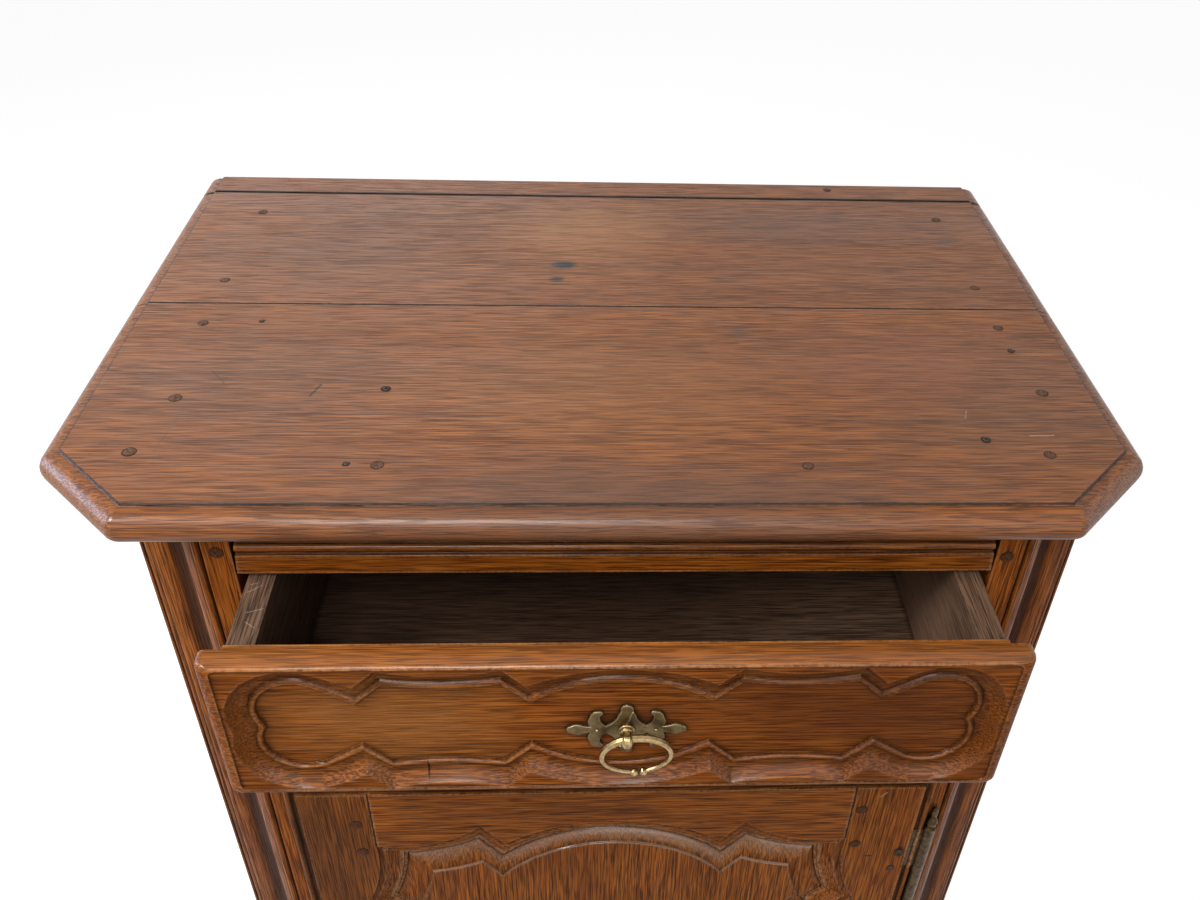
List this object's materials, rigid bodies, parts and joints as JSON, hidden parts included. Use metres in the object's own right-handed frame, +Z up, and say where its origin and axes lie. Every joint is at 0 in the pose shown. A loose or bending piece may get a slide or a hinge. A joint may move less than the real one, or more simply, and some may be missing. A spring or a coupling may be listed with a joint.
{
  "type": "jelly cupboard",
  "caption": "Low oak jam cupboard with a moulded canted case, an overlay drawer carved with a cusped cartouche and a panelled door on pin hinges.",
  "frame": {"origin": "on the floor under the centre of the bounding box with the drawer standing out as pictured", "axes": "+Z up, front towards -Y, +X to the right seen from the front"},
  "size_m": [0.884, 0.6722, 1.05],
  "materials": {
    "waxed_oak_top": "old waxed oak, worn and slightly greyed",
    "waxed_oak_front": "old waxed oak, satin",
    "raw_oak": "unfinished aged oak, matte",
    "aged_brass": "aged brass with dark patina",
    "dark_iron": "dark wrought iron"
  },
  "bodies": {
    "case": {"top_front_board": "waxed_oak_top", "top_back_board": "waxed_oak_top", "top_rear_strip": "waxed_oak_top", "front_post_left": "waxed_oak_front", "front_post_right": "waxed_oak_front", "rear_post_left": "waxed_oak_front", "rear_post_right": "waxed_oak_front", "front_top_rail": "waxed_oak_front", "drawer_rail": "waxed_oak_front", "front_bottom_rail": "waxed_oak_front", "side_top_rail_left": "waxed_oak_front", "side_top_rail_right": "waxed_oak_front", "side_bottom_rail_left": "waxed_oak_front", "side_bottom_rail_right": "waxed_oak_front", "side_panel_left": "waxed_oak_front", "side_panel_right": "waxed_oak_front", "back_top_rail": "raw_oak", "back_middle_rail": "raw_oak", "back_bottom_rail": "raw_oak", "back_board_1": "raw_oak", "back_board_2": "raw_oak", "back_board_3": "raw_oak", "back_board_4": "raw_oak", "floor_board_front": "raw_oak", "floor_board_back": "raw_oak", "floor_cleat_left": "raw_oak", "floor_cleat_right": "raw_oak", "inner_shelf": "raw_oak", "shelf_cleat_left": "raw_oak", "shelf_cleat_right": "raw_oak", "drawer_runner_left": "raw_oak", "drawer_runner_right": "raw_oak", "drawer_guide_left": "raw_oak", "drawer_guide_right": "raw_oak", "drawer_kicker_left": "raw_oak", "drawer_kicker_right": "raw_oak", "upper_hinge_post_half": "aged_brass", "lower_hinge_post_half": "aged_brass"},
    "drawer": {"drawer_front": "waxed_oak_front", "drawer_side_left": "raw_oak", "drawer_side_right": "raw_oak", "drawer_back": "raw_oak", "drawer_bottom": "raw_oak", "handle_backplate": "aged_brass", "handle_post": "aged_brass", "handle_nut": "dark_iron"},
    "bail": {"handle_bail": "aged_brass"},
    "door": {"door_stile_left": "waxed_oak_front", "door_stile_right": "waxed_oak_front", "door_top_rail": "waxed_oak_front", "door_bottom_rail": "waxed_oak_front", "door_panel": "waxed_oak_front", "upper_hinge_door_half": "aged_brass", "lower_hinge_door_half": "aged_brass", "lock_case": "dark_iron", "escutcheon": "aged_brass"},
    "key": {"key": "dark_iron"},
    "bolt": {"lock_bolt": "dark_iron"}
  },
  "joints": [
    {"name": "drawer_slide", "type": "slide", "parent": "case", "child": "drawer", "axis": [0, -1, 0], "range_m": [-0.0784, 0.2216]},
    {"name": "bail_swing", "type": "hinge", "parent": "drawer", "child": "bail", "pos_m": [0.0164, -0.32915, 0.88], "axis": [-1, 0, 0], "range_deg": [-5, 110]},
    {"name": "door_swing", "type": "hinge", "parent": "case", "child": "door", "pos_m": [0.33065, -0.23765, 0.426], "axis": [0, 0, 1], "range_deg": [0, 100]},
    {"name": "key_turn", "type": "hinge", "parent": "door", "child": "key", "pos_m": [-0.2688, -0.24265, 0.426], "axis": [0, -1, 0], "range_deg": [0, 80]},
    {"name": "bolt_throw", "type": "slide", "parent": "door", "child": "bolt", "axis": [-1, 0, 0], "range_m": [0, 0.018]}
  ],
  "couplings": [
    {"joint": "bolt_throw", "follows": "key_turn", "m_per_rad": 0.01289}
  ]
}
